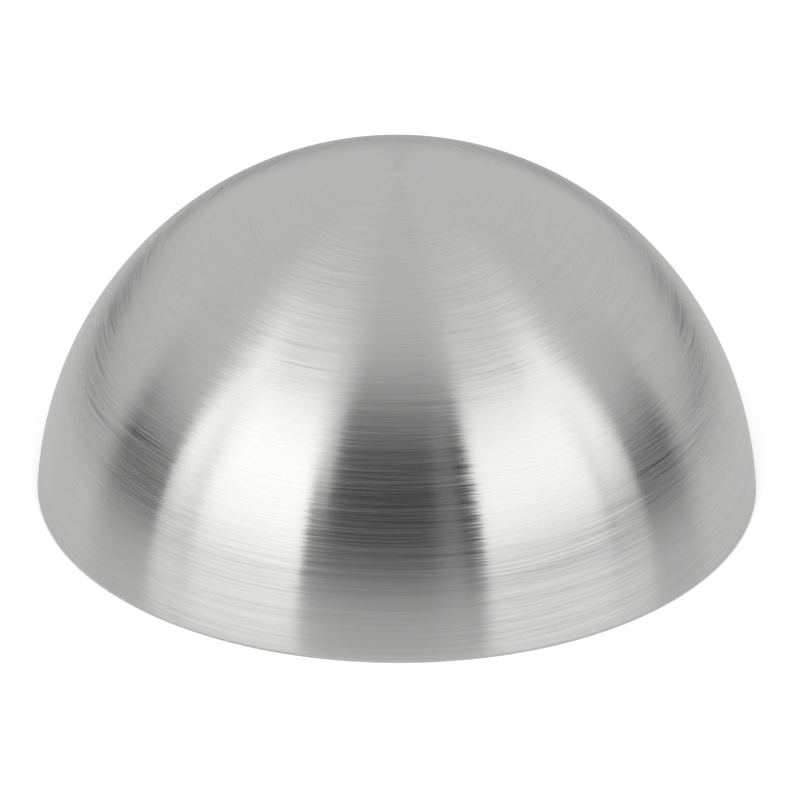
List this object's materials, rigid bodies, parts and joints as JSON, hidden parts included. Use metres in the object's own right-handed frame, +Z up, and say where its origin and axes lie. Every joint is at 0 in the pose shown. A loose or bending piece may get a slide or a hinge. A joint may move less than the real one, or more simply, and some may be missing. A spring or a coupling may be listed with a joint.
{
  "type": "half-ball pipe cap",
  "caption": "Hollow half-ball cap of satin-brushed stainless sheet, butted on the open end of a round tube of the same outside diameter.",
  "frame": {"origin": "centre of the rim's flat face, where the tube's end meets it", "axes": "+Z up the cap's axis of revolution, from the rim to the crown; X and Y are free, because the cap is round"},
  "size_m": [0.1016, 0.1016, 0.0496],
  "materials": {
    "brushed_stainless": "satin, brushed in circles round the crown outside; plain rolled sheet inside; cut and deburred at the rim"
  },
  "bodies": {
    "root": {"dome_shell": "brushed_stainless"}
  },
  "joints": []
}
